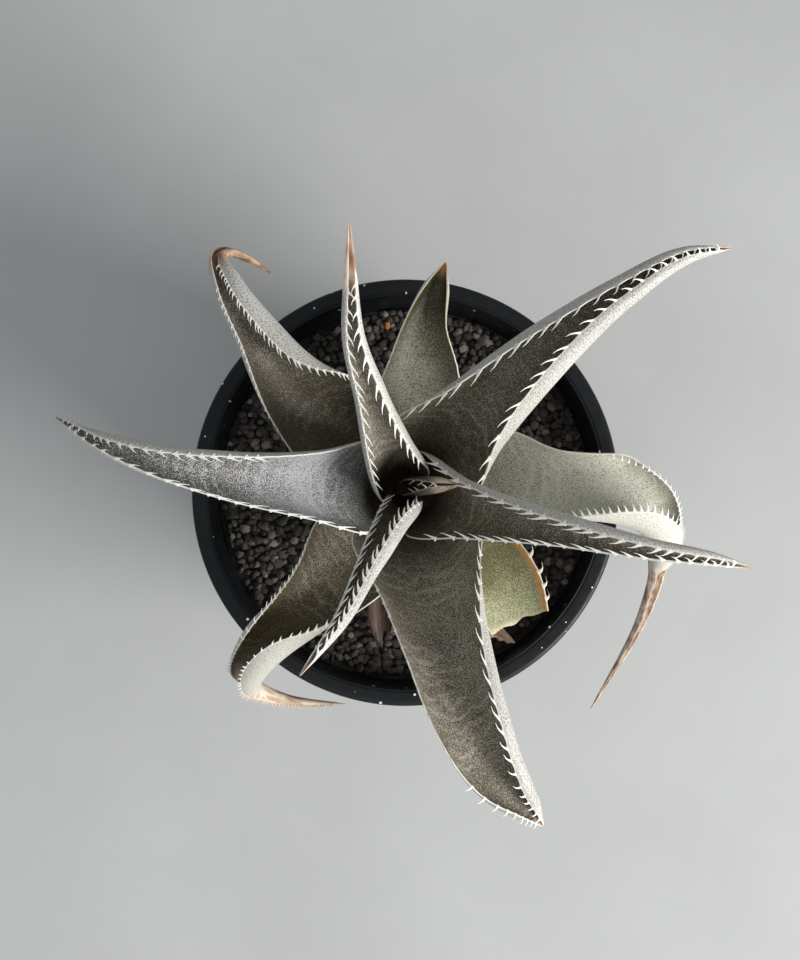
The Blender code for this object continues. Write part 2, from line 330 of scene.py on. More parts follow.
# The leaf finishes. Face and back are the two sides, each a ground colour under specks; margin
# is the horny edge, and the two wither colours are the dry parts. Widths are in millimetres.
leafLooks = dict(
    greyLeaf=dict(
        face=(0.068, 0.054, 0.031), scurf=(0.47, 0.435, 0.36), back=(0.58, 0.57, 0.53),
        backSpeck=(0.25, 0.235, 0.205), backCover=0.42, margin=(0.66, 0.65, 0.6), marginWidth=0.32,
        band=0.5, witherDark=(0.36, 0.17, 0.09), witherLight=(0.8, 0.68, 0.54),
    ),
    paleLeaf=dict(
        face=(0.085, 0.068, 0.028), scurf=(0.52, 0.52, 0.44), back=(0.62, 0.605, 0.545),
        backSpeck=(0.38, 0.35, 0.27), backCover=0.34, margin=(0.7, 0.67, 0.58), marginWidth=0.35,
        band=0.55, witherDark=(0.27, 0.18, 0.13), witherLight=(0.84, 0.71, 0.57),
    ),
    freshLeaf=dict(
        face=(0.115, 0.105, 0.03), scurf=(0.38, 0.4, 0.26), back=(0.6, 0.6, 0.45),
        backSpeck=(0.25, 0.25, 0.16), backCover=0.3, margin=(0.74, 0.7, 0.54), marginWidth=0.35,
        band=0.15, witherDark=(0.46, 0.17, 0.05), witherLight=(0.74, 0.52, 0.3),
    ),
    dryLeaf=dict(
        face=(0.2, 0.11, 0.065), scurf=(0.5, 0.4, 0.3), back=(0.42, 0.28, 0.18),
        backSpeck=(0.18, 0.09, 0.05), backCover=0.3, margin=(0.52, 0.38, 0.26), marginWidth=0.4,
        band=0.2, witherDark=(0.012, 0.008, 0.006), witherLight=(0.085, 0.045, 0.025),
    ),
)

skinForm = dict(
    roughness=0.62, shine=(0.48, 0.68), specular=0.4, bandPitch=0.0045, bandCover=0.3,
    faceSize=2600.0, faceEdge=0.14, backSize=2200.0, backEdge=0.09, backStretch=(0.8, 1.2, 1.0),
    ragSize=900.0, rag=0.8, marginBlur=0.2, blushBand=(3.2, 0.9), bump=0.3, bumpDepth=0.0002,
)


def buildLeafMaterial(name, look):
    form = skinForm
    made, tree, shader = newMaterial(name, form["roughness"], look["face"])
    spot = objectPlace(tree)
    leaf = readAttribute(tree, "leafPlace", vector=True)
    withered = readAttribute(tree, "withered")
    bars = useGroup(tree, bands, Leaf=leaf, Pitch=form["bandPitch"], Strength=look["band"])
    bars = calc(tree, "MULTIPLY", bars["Bands"], form["bandCover"])
    cover = calc(tree, "ADD", readAttribute(tree, "cover"), bars)
    scales = useGroup(
        tree, scurf, Place=spot, Size=form["faceSize"], Cover=cover, Edge=form["faceEdge"]
    )
    face = blendColour(tree, scales["Specks"], look["face"], look["scurf"])
    backScales = useGroup(
        tree, scurf, Place=stretch(tree, leaf, form["backStretch"]), Size=form["backSize"],
        Cover=look["backCover"], Edge=form["backEdge"],
    )
    behind = blendColour(tree, backScales["Specks"], look["back"], look["backSpeck"])
    colour = blendColour(tree, readAttribute(tree, "back"), face, behind)
    ragged = centred(tree, noise(tree, spot, form["ragSize"]), form["rag"])
    edge = calc(tree, "ADD", readAttribute(tree, "rimGap"), ragged)
    if "blush" in look:  # a warm band just inside the margin
        band = span(tree, edge, *form["blushBand"])
        blush = calc(tree, "MULTIPLY", band, readAttribute(tree, "blush"))
        colour = blendColour(tree, blush, colour, look["blush"])
    width, blur = look["marginWidth"], form["marginBlur"]
    colour = blendColour(tree, span(tree, edge, width + blur, width - blur), colour, look["margin"])
    dry = useGroup(
        tree, wither, Leaf=leaf, Dark=(*look["witherDark"], 1), Light=(*look["witherLight"], 1)
    )
    colour = blendColour(tree, withered, colour, dry["Colour"])
    feed(tree, shader.inputs["Base Color"], colour)
    feed(tree, shader.inputs["Roughness"], span(tree, scales["Specks"], 0.0, 1.0, *form["shine"]))
    shader.inputs["Specular IOR Level"].default_value = form["specular"]
    relief = calc(tree, "ADD", scales["Relief"], dry["Relief"])
    addBump(tree, shader, relief, form["bump"], form["bumpDepth"])
    return made


hornForm = dict(
    roughness=0.5, colour=(0.86, 0.85, 0.78), grain=1500.0, bump=0.3, bumpDepth=0.0001,
    pale=((0.80, 0.79, 0.72), (0.92, 0.91, 0.86)), warm=((0.52, 0.34, 0.22), (0.85, 0.72, 0.56)),
)


def buildSpineMaterial():
    form = hornForm
    made, tree, shader = newMaterial("spineHorn", form["roughness"], form["colour"])
    grain = noise(tree, objectPlace(tree), form["grain"])
    pale, warm = blendColour(tree, grain, *form["pale"]), blendColour(tree, grain, *form["warm"])
    colour = blendColour(tree, readAttribute(tree, "withered"), pale, warm)
    feed(tree, shader.inputs["Base Color"], colour)
    addBump(tree, shader, grain, form["bump"], form["bumpDepth"])
    return made


spineHorn = buildSpineMaterial()
print("materials ready")

# Sizes that all leaves share, in millimetres: the stem's cone, the rings they sit on, the gap to
# the stem, and the thickness in the middle, at the margin and at the tip.
leafForm = dict(
    gravelTop=110.0, rise=30.0, topRadius=3.2, coneRadius=23.6, ringStart=4.8, ringStep=2.4,
    seatGap=0.7, thick=2.0, edge=0.42, tip=0.12, slim=0.55, tipThick=0.3, marginCurve=2.5,
    samples=480, cells=(130, 26), crowd=1.35, sharp=60, blushTo=0.4, swellFrom=0.2, tearFrom=0.8,
    toothLift=0.3, toothWidth=1.2, toothFrom=0.8, toothReach=0.2, backDepth=0.01,
)

# What a row of spines has unless it says otherwise. stand turns the spines from straight out, 0,
# through up, 90, to inwards, at the row's start and end; root is their thickness there; steady
# rows keep their length, loose ones stray from the pitch, and warm ones are browner.
usualRow = dict(
    sides=(-1, 1), stand=(142, 142), root=0.42, hook=14, loose=0.15, warm=0, steady=False
)


def spineRow(start, end, pitch, length, lean, **more):
    return {**usualRow, **dict(start=start, end=end, pitch=pitch, length=length, lean=lean), **more}


# Each leaf's ring and bearing give its seat on the stem, and wrap how far it reaches round it.
# way: rows down the blade of reach, bearing, height above the gravel, half-breadth, curl and
# roll, in millimetres and degrees. A curl past 90 turns the margins inwards, and a roll tips the
# channel. cover: how much scurf lies on the face along the blade, from 0 to 1; on leaf_left its
# peak near 0.32 also paints a sheen highlight. wither: where along the blade it goes dry. fold: one
# side bent further inwards by the extra degrees, beyond the start share of its breadth. ripple:
# swellings of one margin, by place, width and height.
# torn: how raggedly the end is broken. paint: colours that differ from the leaf's look.
# spines: rows, each with its start and end along the blade, pitch, length, and lean off the
# margin's line at the row's start, middle and end.
leaves = {
    "heart_leaf": dict(
        ring=-1, bearing=0, wrap=140, fine=(44, 20), wither=(0.72, 0.86),
        cover=[(0, 0.05), (1, 0.2)],
        # the dark back, back specks and grey margin are painted shade, deep in the rosette's heart
        paint=dict(
            back=(0.1, 0.095, 0.075), backSpeck=(0.05, 0.045, 0.035), margin=(0.4, 0.38, 0.33),
            marginWidth=0.2, witherDark=(0.16, 0.12, 0.08), witherLight=(0.46, 0.39, 0.29),
        ),
        way=[(2.8, 0, 40, 2.4, 112, 0), (6.5, 0, 51, 2.2, 128, 0), (12, 0, 58, 1.7, 160, 0),
             (18, 0, 61, 0.15, 165, 0)],
        spines=[spineRow(0.5, 0.86, 4.0, 2.8, (60, 75, 85), root=0.3, steady=True, loose=0.4)],
    ),
    "leaf_front_upright": dict(
        ring=0, bearing=262, wrap=60, wither=(0.94, 1.0), cover=[(0, 0.1), (0.5, 0.25), (1, 0.5)],
        way=[(8.5, 264, 46, 5.4, 85, 0), (17, 254, 70, 4.4, 105, -15), (32, 248, 90, 2.8, 120, -14),
             (48, 246, 105, 1.7, 128, -6), (66, 242, 114, 0.15, 120, 0)],
        spines=[spineRow(0.2, 0.93, 5.6, 6.0, (28, 38, 55), sides=(1,), loose=0.3),
                spineRow(0.2, 0.93, 6.2, 5.2, (50, 55, 60), sides=(-1,), stand=(165, 150),
                         loose=0.3)],
    ),
    "leaf_back_upright": dict(
        ring=1, bearing=122, wrap=100, wither=(0.82, 0.88),
        cover=[(0, 0.15), (0.3, 0.45), (0.6, 0.42), (1, 0.4)],
        paint=dict(witherDark=(0.46, 0.22, 0.12), witherLight=(0.88, 0.82, 0.7)),
        way=[(10, 121, 40, 9, 96, 0), (18, 114, 65, 7, 105, 15), (30, 112, 91, 4, 115, 20),
             (47, 110, 113, 2.3, 130, 20), (60, 106, 124, 1.3, 140, 10),
             (73, 103, 132, 0.15, 120, 0)],
        spines=[spineRow(0.22, 0.88, 7.4, 6.0, (32, 42, 72), loose=0.25)],
    ),
    "leaf_right": dict(
        ring=2, bearing=352, wrap=72, wither=(0.97, 1.0),
        cover=[(0, 0.1), (0.25, 0.3), (0.6, 0.38), (1, 0.5)],
        way=[(13, 346, 36, 14, 76, 0), (25, 344, 55, 9.2, 88, -12), (50, 344.6, 75, 4.6, 105, -25),
             (78, 345, 84, 2.5, 125, -25), (98, 346, 83, 1.5, 140, -20),
             (111, 346, 80, 0.15, 120, -10)],
        spines=[spineRow(0.2, 0.96, 6.2, 6.2, (24, 34, 72), sides=(1,), loose=0.25),
                spineRow(0.2, 0.96, 6.2, 5.6, (32, 38, 72), sides=(-1,), stand=(165, 155),
                         loose=0.25)],
    ),
    "leaf_left": dict(
        ring=3, bearing=180, wrap=58, wither=(0.975, 1.0),
        # the cover peak near 0.32 and the bluish scurf colour are real scurf with a painted sheen
        # highlight on the channel added
        cover=[(0, 0.25), (0.2, 0.42), (0.32, 0.72), (0.42, 0.52), (0.55, 0.34), (1, 0.35)],
        paint=dict(face=(0.065, 0.058, 0.045), scurf=(0.58, 0.585, 0.6)),
        way=[(16, 179, 33, 16, 70, 0), (35, 177, 55, 10.8, 84, 15), (58, 176, 71, 7, 95, 25),
             (81, 174.3, 77, 3.8, 115, 25), (98, 172, 75, 2.1, 135, 20),
             (114, 169.3, 68, 0.15, 120, 0)],
        spines=[spineRow(0.2, 0.97, 5.8, 6.0, (26, 30, 75), sides=(1,), loose=0.3),
                spineRow(0.2, 0.5, 6.5, 2.6, (18, 20, 24), sides=(-1,), stand=(95, 120), loose=0.3),
                spineRow(0.5, 0.97, 4.6, 4.4, (28, 50, 75), sides=(-1,), loose=0.3)],
    ),
    "leaf_back_right": dict(
        ring=4, bearing=52, wrap=46, wither=(0.95, 1.0),
        cover=[(0, 0.3), (0.2, 0.3), (0.5, 0.35), (1, 0.3)],
        way=[(20, 50, 30, 18.5, 62, 0), (38, 45.5, 46, 12.8, 100, 5), (68, 43, 62, 7.5, 130, 12),
             (92, 41.3, 70, 3.9, 145, 15), (115, 39.2, 70, 2, 150, 10),
             (130, 36, 66, 0.15, 120, 0)],
        fold=dict(side=-1, start=0.6, extra=35, rise=(0.15, 0.4)),
        spines=[spineRow(0.16, 0.97, 6.8, 6.0, (26, 48, 85), loose=0.25)],
    ),
    "leaf_front": dict(
        ring=4, bearing=277, wrap=48, wither=(0.97, 1.0),
        cover=[(0, 0.3), (0.3, 0.45), (0.6, 0.42), (1, 0.35)],
        fold=dict(side=1, start=0.72, extra=75, rise=(0.22, 0.6)),
        way=[(22, 280, 28, 21, 58, 0), (40, 284, 45, 17, 72, -5), (58, 285, 56, 13.8, 84, -10),
             (78, 286, 61, 11.6, 90, -14), (94, 287.5, 59, 8.6, 105, -14),
             (108, 290, 54, 4.4, 135, -10), (120, 292, 48, 0.15, 120, 0)],
        spines=[spineRow(0.25, 0.97, 6.0, 6.2, (22, 34, 85), sides=(1,), loose=0.25),
                spineRow(0.2, 0.72, 5.6, 3.2, (18, 20, 30), sides=(-1,), stand=(120, 110)),
                spineRow(0.74, 0.97, 4.2, 3.4, (85, 100, 105), sides=(-1,), stand=(0, -30),
                         steady=True)],
    ),
    "leaf_back_left": dict(
        ring=5, bearing=140, wrap=42, wither=(0.72, 0.8),
        cover=[(0, 0.1), (0.3, 0.2), (0.5, 0.3), (0.7, 0.5), (1, 0.4)],
        paint=dict(witherDark=(0.22, 0.11, 0.055), witherLight=(0.68, 0.47, 0.32)),
        way=[(30, 139, 22, 17, 52, 0), (52, 137, 38, 13.5, 80, 5), (70, 133.5, 49, 7.4, 110, 15),
             (87, 131.5, 54, 4, 125, 15), (97, 129.5, 51, 2, 130, 5), (98, 127.2, 46, 1.4, 110, 0),
             (94, 125, 40, 1.2, 110, 0), (87, 122, 33, 0.15, 110, 0)],
        fold=dict(side=-1, start=0.3, extra=62, rise=(0.3, 0.52)),
        spines=[spineRow(0.3, 0.76, 2.4, 3.2, (45, 60, 75), steady=True, sides=(-1,), loose=0.45),
                spineRow(0.3, 0.7, 3.0, 2.0, (60, 60, 60), steady=True, sides=(1,),
                         stand=(50, 50))],
    ),
    "leaf_right_low": dict(
        look="paleLeaf", ring=5, bearing=0, wrap=42, wither=(0.46, 0.51),
        cover=[(0, 0.5), (0.25, 0.75), (0.5, 0.6), (1, 0.5)],
        ripple=[(0.13, 0.05, 4.5), (0.29, 0.025, 2.8)],
        way=[(30, 0, 17, 17, 46, 0), (50, 358.5, 29, 13.2, 58, 10), (66, 356.5, 34, 11, 90, 30),
             (79, 353, 31, 8.8, 120, 48), (87, 349, 20, 5.4, 140, 35), (92, 344.5, 4, 2.8, 120, 0),
             (98, 334, -24, 2, 100, 0), (111, 312, -72, 0.15, 100, 0)],
        spines=[spineRow(0.22, 0.5, 1.7, 3.2, (60, 88, 80), steady=True, root=0.42, sides=(-1,)),
                spineRow(0.27, 0.5, 1.9, 1.9, (80, 88, 88), steady=True, root=0.5, sides=(1,),
                         stand=(40, 20)),
                spineRow(0.53, 0.97, 3.6, 2.0, (80, 78, 70), steady=True, sides=(1,),
                         stand=(15, 0), warm=0.3, loose=0.5)],
    ),
    "leaf_front_left": dict(
        look="paleLeaf", ring=5, bearing=226, wrap=42, wither=(0.58, 0.7),
        cover=[(0, 0.42), (0.2, 0.34), (0.4, 0.12), (1, 0.15)],
        paint=dict(
            face=(0.07, 0.05, 0.016), scurf=(0.44, 0.41, 0.33), witherDark=(0.4, 0.28, 0.19),
            witherLight=(0.8, 0.68, 0.54),
        ),
        way=[(30, 230, 18, 16.5, 48, 0), (46, 231.5, 27, 12.6, 62, 0), (58, 231, 31, 8.6, 102, -15),
             (68, 230, 31, 7, 140, -25), (80, 230, 21, 5, 135, -20), (86, 233, 6, 3.4, 85, -10),
             (85, 240, -4, 2.6, 60, 0), (79, 254, -8, 0.15, 60, 0)],
        spines=[spineRow(0.2, 0.6, 2.6, 2.2, (40, 60, 80), steady=True, sides=(-1,),
                         stand=(50, 30)),
                spineRow(0.3, 0.97, 2.2, 2.4, (60, 80, 80), steady=True, sides=(1,),
                         stand=(130, 40), root=0.5, loose=0.3)],
    ),
    "leaf_back_short": dict(
        look="freshLeaf", ring=6, bearing=83, wrap=36, wither=(0.9, 1.0),
        cover=[(0, 0.6), (0.4, 0.62), (0.62, 0.4), (0.8, 0.1), (1, 0.05)],
        paint=dict(face=(0.042, 0.036, 0.008), scurf=(0.35, 0.35, 0.27)),
        way=[(28, 83, 14, 15, 40, 0), (41, 82, 21, 13, 50, 0), (58, 83, 27, 7, 75, 0),
             (72, 81, 30, 3, 100, 0), (79, 80, 31, 0.15, 100, 0)],
        spines=[spineRow(0.3, 0.9, 3.4, 1.2, (20, 30, 40))],
    ),
    "leaf_front_right_short": dict(
        look="freshLeaf", ring=6, bearing=322, wrap=28, fine=(60, 26), torn=0.035,
        wither=(0.94, 1.0), cover=[(0, 0.3), (0.6, 0.35), (1, 0.5)],
        paint=dict(
            blush=(0.55, 0.26, 0.07), face=(0.15, 0.14, 0.05), scurf=(0.48, 0.5, 0.33),
            witherDark=(0.56, 0.42, 0.24), witherLight=(0.78, 0.7, 0.52),
        ),
        blush=1,
        way=[(32, 321, 11, 12, 32, 0), (47, 317, 15, 12.5, 36, 0), (61, 311, 13, 10.5, 40, 0)],
        spines=[spineRow(0.45, 0.9, 4.8, 3.8, (95, 88, 85), sides=(1,), steady=True, root=0.8,
                         hook=42, stand=(20, 10), warm=0.55)],
    ),
    "dry_leaf_front": dict(
        look="dryLeaf", ring=7, bearing=290, wrap=12, fine=(40, 14), thick=1.0, wither=(0.0, 0.4),
        cover=[(0, 0.2), (1, 0.2)],
        paint=dict(
            witherDark=(0.6, 0.4, 0.3), witherLight=(0.9, 0.72, 0.58), margin=(0.86, 0.74, 0.6),
        ),
        way=[(34, 294, 5, 4.4, 50, 0), (48, 299, 5.5, 3.4, 60, 0), (58, 303, 5, 2, 80, 0),
             (66, 306, 5, 0.15, 80, 0)],
        spines=[spineRow(0.45, 1.0, 4.0, 3.2, (80, 80, 75), sides=(-1,), steady=True, root=0.65,
                         hook=45, stand=(10, 0), warm=0.7)],
    ),
    "dry_leaf_stub": dict(
        look="dryLeaf", ring=7, bearing=258, wrap=15, fine=(34, 14), thick=1.0, torn=0.22,
        wither=(0.0, 0.4), cover=[(0, 0.2), (1, 0.2)],
        way=[(30, 258, 5, 5.5, 50, 0), (44, 259, 6.5, 4.6, 60, 0), (56, 262, 5, 1.5, 70, 0)],
        spines=[],
    ),
}


def smoothRows(values, knots, where):
    slopes = np.gradient(values, knots, axis=0)
    index = np.clip(np.searchsorted(knots, where) - 1, 0, len(knots) - 2)
    width = (knots[index + 1] - knots[index])[:, None]
    t = ((where - knots[index]) / width[:, 0])[:, None]
    return (
        (2 * t**3 - 3 * t**2 + 1) * values[index]
        + (t**3 - 2 * t**2 + t) * width * slopes[index]
        + (3 * t**2 - 2 * t**3) * values[index + 1]
        + (t**3 - t**2) * width * slopes[index + 1]
    )


def ease(value, low, high):
    t = min(1.0, max(0.0, (value - low) / max(1e-4, high - low)))
    return t * t * (3 - 2 * t)


def baseRow(spec):
    form = leafForm
    ring = form["ringStart"] + spec["ring"] * form["ringStep"]
    reach, _, rise = spec["way"][0][:3]
    run = form["coneRadius"] - form["topRadius"]
    slope = form["rise"] / run
    seat = form["rise"] * min(1, (form["coneRadius"] - ring) / run) + form["seatGap"]
    pitch = math.atan2(rise - seat, reach - ring)
    thick = spec.get("thick", form["thick"])
    seat += max(0, thick * (math.cos(pitch) - slope * math.sin(pitch)))
    breadth = ring * math.sin(math.radians(min(spec["wrap"], 90)))
    return ring, spec["bearing"], seat, breadth, spec["wrap"], 0


def arcRadius(breadth, curl):
    return breadth / math.sin(min(curl, math.pi / 2))


class Blade:
    # a leaf's way through space: place(s, v, depth) turns along, across and depth into a point
    def __init__(self, spec):
        form = leafForm
        rows = []
        for reach, bearing, rise, breadth, curl, roll in [baseRow(spec), *spec["way"]]:
            angle = math.radians(bearing)
            spot = (
                reach * mm * math.cos(angle), reach * mm * math.sin(angle),
                (form["gravelTop"] + rise) * mm,
            )
            rows.append((*spot, breadth * mm, math.radians(curl), math.radians(roll)))
        rows = np.array(rows)
        steps = np.linalg.norm(np.diff(rows[:, :3], axis=0), axis=1)
        knots = np.concatenate([[0], np.cumsum(steps)])
        fine = smoothRows(rows, knots, np.linspace(0, knots[-1], form["samples"]))
        points = fine[:, :3]
        along = np.gradient(points, axis=0)
        along /= np.linalg.norm(along, axis=1)[:, None]
        angle = math.radians(spec["bearing"])
        side = np.array([-math.sin(angle), math.cos(angle), 0.0])
        sides = []
        for tangent in along:
            side = side - side.dot(tangent) * tangent
            side /= np.linalg.norm(side)
            sides.append(side)
        sides = np.array(sides)
        ups = np.cross(along, sides)
        roll = fine[:, 5][:, None]
        turnedSides = sides * np.cos(roll) - ups * np.sin(roll)
        turnedUps = ups * np.cos(roll) + sides * np.sin(roll)
        breadth = np.maximum(fine[:, 3], form["tip"] * mm)
        most = spec.get("thick", form["thick"]) * mm
        thick = np.minimum(most, form["slim"] * breadth + form["tipThick"] * form["tip"] * mm)
        steps = np.linalg.norm(np.diff(points, axis=0), axis=1)
        travelled = np.concatenate([[0], np.cumsum(steps)])
        self.length = travelled[-1]
        self.share = travelled / travelled[-1]
        self.table = np.column_stack(
            [points, turnedSides, turnedUps, breadth, fine[:, 4], thick]
        )
        self.spec = spec

    def row(self, s):
        return np.array([np.interp(s, self.share, column) for column in self.table.T])

    def place(self, s, v, depth=0.0, row=None):
        row = self.row(s) if row is None else row
        point, side, up, (breadth, curl, thick) = row[0:3], row[3:6], row[6:9], row[9:12]
        radius = arcRadius(breadth, curl)
        turn = curl * v
        middle = point + up * radius
        fold = self.spec.get("fold")
        if fold and v * fold["side"] > fold["start"]:
            extra = math.radians(fold["extra"]) * ease(s, *fold["rise"])
            beyond = abs(v) - fold["start"]
            spread = (1 - fold["start"]) * curl
            tight = radius * spread / (spread + extra)
            hinge = curl * fold["start"] * fold["side"]
            hingeOut = side * math.sin(hinge) - up * math.cos(hinge)
            middle = middle + hingeOut * (radius - tight)
            turn = hinge + fold["side"] * beyond * curl * radius / tight
            radius = tight
        outward = side * math.sin(turn) - up * math.cos(turn)
        edge = leafForm["edge"] * mm
        inner = max(0.0, 1 - min(1.0, abs(v)) ** leafForm["marginCurve"])
        spare = min(thick, edge + (thick - edge) * inner)
        return Vector(middle + outward * (radius + spare * depth))

    def withered(self, s):
        return ease(s, *self.spec["wither"])


# What all spines share: the plain thorn's shape, how a row closes up and shortens, and how the
# root spreads where it meets the margin.
spineForm = dict(
    sides=6, point=0.16, cuts=(-0.3, -0.05, 0.2), closeUp=0.42, probe=0.004, inside=0.97,
    mostTuck=85, wobble=5, fade=0.45, fadeFrom=0.3, lengths=(0.85, 1.1), fullLength=4,
    leastRoot=0.25, web=(0.5, 1.7), sink=0.35, flat=0.7,
)


def spineSites(blade, spec):
    # (share along, side, share of the row, the row's settings) of every spine
    found = []
    rand = random.Random(len(spec["way"]) * 100 + int(spec["bearing"]))
    for spines in spec["spines"]:
        loose = spines["loose"]
        for side in spines["sides"]:
            s = spines["start"] + rand.random() * spines["pitch"] * mm / blade.length
            while s < spines["end"]:
                run = (s - spines["start"]) / (spines["end"] - spines["start"])
                found.append((s, side, run, spines))
                pitch = spines["pitch"] * (1 - spineForm["closeUp"] * run)
                pitch *= rand.uniform(1 - loose, 1 + loose)
                s += pitch * mm / blade.length
    return found


def unitThorn():
    # a tapering thorn along +Z, one long and one in radius, ready to be bent and placed
    form = spineForm
    bm = bmesh.new()
    bmesh.ops.create_cone(
        bm, cap_ends=True, segments=form["sides"], radius1=1.0, radius2=form["point"], depth=1.0
    )
    for cut in form["cuts"]:
        whole = bm.verts[:] + bm.edges[:] + bm.faces[:]
        bmesh.ops.bisect_plane(bm, geom=whole, plane_co=(0, 0, cut), plane_no=(0, 0, 1))
    bmesh.ops.translate(bm, verts=bm.verts, vec=(0, 0, 0.5))
    shadeSmooth(bm, 1)
    return keepMesh("thorn", bm)


thorn = unitThorn()


def spineFrame(blade, site):
    # the spine's seat, the margin's line, the way it stands out, and whether it stands inwards
    s, side, run, spines = site
    form = spineForm
    here = blade.place(s, side, 0.5)
    ahead = blade.place(min(1, s + form["probe"]), side, 0.5)
    along = (ahead - blade.place(max(0, s - form["probe"]), side, 0.5)).normalized()
    rim = (here - blade.place(s, side * form["inside"], 0.5)).normalized()
    rim = (rim - rim.dot(along) * along).normalized()
    inward = (blade.place(s, side, 0.0) - blade.place(s, side, 1.0)).normalized()
    row = blade.row(s)
    rise, out = rim.dot(Vector(row[6:9])), side * rim.dot(Vector(row[3:6]))
    rimAngle = math.degrees(math.atan2(rise, out)) % 360
    low, high = spines["stand"]
    tuck = low + (high - low) * run - rimAngle
    tuck = math.radians(min(form["mostTuck"], max(-form["mostTuck"], tuck)))
    rim = (rim * math.cos(tuck) + inward * math.sin(tuck)).normalized()
    return here, along, rim, tuck > 0


def addSpine(bm, blade, site, layers, rand):
    s, _, run, spines = site
    form = spineForm
    here, along, rim, inwards = spineFrame(blade, site)
    normal = along.cross(rim).normalized()
    low, mid, high = spines["lean"]
    lean = low + (mid - low) * min(1, 2 * run) + (high - mid) * max(0, 2 * run - 1)
    lean = math.radians(lean + rand.uniform(-form["wobble"], form["wobble"]))
    taper = 1
    if not spines["steady"]:
        taper = 1 - form["fade"] * max(0, run - form["fadeFrom"]) / (1 - form["fadeFrom"])
    length = spines["length"] * mm * taper * rand.uniform(*form["lengths"])
    root = spines["root"] * mm
    root *= min(1, length / (form["fullLength"] * mm) + form["leastRoot"])
    aim = -along * math.cos(lean) + rim * math.sin(lean)
    bendTo = -along + along.dot(aim) * aim
    bendTo = bendTo.normalized() if bendTo.length > 0.05 else rim
    hook = math.radians(spines["hook"]) * (0.5 + run)
    withered = max(blade.withered(s), spines["warm"])
    seat = here - aim * form["sink"] * mm
    for vert in addCopy(bm, thorn):
        t = vert.co.z
        web = 1 + form["web"][inwards] * (1 - t) ** 3
        bend = hook * t
        centre = seat + aim * (length * t * math.cos(bend))
        centre += bendTo * (length * t * math.sin(bend) * t)
        wide, thick = vert.co.x * root * web, vert.co.y * root * form["flat"]
        vert.co = centre + bendTo * wide + normal * thick
        vert[layers["withered"]] = withered


def leafLayers(bm):
    labels = ("rimGap", "back", "withered", "cover", "blush")
    return {label: bm.verts.layers.float.new(label) for label in labels}


def tornEdge(across):
    return 0.5 + 0.5 * math.sin(4 * across + 1.5 * math.sin(5 * across))


def shapeBlade(bm, blade, spec, sites):
    # turns the plain slab into the leaf and records what its material reads
    form = leafForm
    layers = leafLayers(bm)
    leafLayer = bm.verts.layers.float_vector.new("leafPlace")
    cellsAlong, cellsAcross = spec.get("fine", form["cells"])
    bmesh.ops.create_grid(bm, x_segments=cellsAlong, y_segments=cellsAcross, size=0.5)
    whole = bm.verts[:] + bm.edges[:] + bm.faces[:]
    made = bmesh.ops.extrude_face_region(bm, geom=whole, use_keep_orig=True)
    for item in made["geom"]:
        if isinstance(item, bmesh.types.BMVert):
            item.co.z = 1.0
    tooth = {side: [site[0] for site in sites if site[1] == side] for side in (-1, 1)}
    known = {}
    coverKnots, coverValues = zip(*spec["cover"])
    for vert in bm.verts:
        across, s, depth = 2 * vert.co.y, vert.co.x + 0.5, vert.co.z
        s -= spec.get("torn", 0) * ease(s, form["tearFrom"], 1.0) * tornEdge(across)
        v = math.copysign(1 - (1 - abs(across)) ** form["crowd"], across)
        key = round(s, 6)
        if key not in known:
            row = blade.row(s)
            known[key] = (row, arcRadius(row[9], row[10]) * row[10])
        row, arc = known[key]
        lift = 0.0
        near = tooth[1 if v > 0 else -1]
        if abs(v) > form["toothFrom"] and near:  # the margin swells out to each spine
            gap = min(abs(s - t) for t in near) * blade.length / mm
            share = (abs(v) - form["toothFrom"]) / form["toothReach"]
            lift = form["toothLift"] * mm * math.exp(-((gap / form["toothWidth"]) ** 2)) * share
        vert[layers["rimGap"]] = (1 - abs(v)) * arc / mm
        vert[layers["back"]] = depth
        vert[layers["withered"]] = blade.withered(s)
        vert[layers["cover"]] = float(np.interp(s, coverKnots, coverValues))
        vert[layers["blush"]] = ease(v * spec.get("blush", 0), 0.0, form["blushTo"])
        vert[leafLayer] = (s * blade.length, v * arc, form["backDepth"] * depth)
        vert.co = blade.place(s, v * (1 + lift / arc), depth, row)
        for middle, width, swell in spec.get("ripple", []):
            share = math.exp(-(((s - middle) / width) ** 2)) * max(0.0, v - form["swellFrom"])
            vert.co += Vector(row[3:6]) * swell * mm * share


def buildLeaf(name, spec):
    blade = Blade(spec)
    sites = spineSites(blade, spec)
    bm = bmesh.new()
    shapeBlade(bm, blade, spec, sites)
    pointOutwards(bm)
    spineMesh = bmesh.new()
    layers = leafLayers(spineMesh)
    rand = random.Random(name)
    for site in sites:
        addSpine(spineMesh, blade, site, layers, rand)
    if sites:
        pointOutwards(spineMesh)
        joinInto(bm, spineMesh)
    look = spec.get("look", "greyLeaf")
    material = buildLeafMaterial(name + "_skin", {**leafLooks[look], **spec.get("paint", {})})
    piece = finishMesh(name + "_blade", bm, [material, spineHorn], leafForm["sharp"])
    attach(piece, "root")
    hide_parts(name)
    return len(sites)


for name, spec in leaves.items():
    count = buildLeaf(name, spec)
    print(name, "built with", count, "spines")

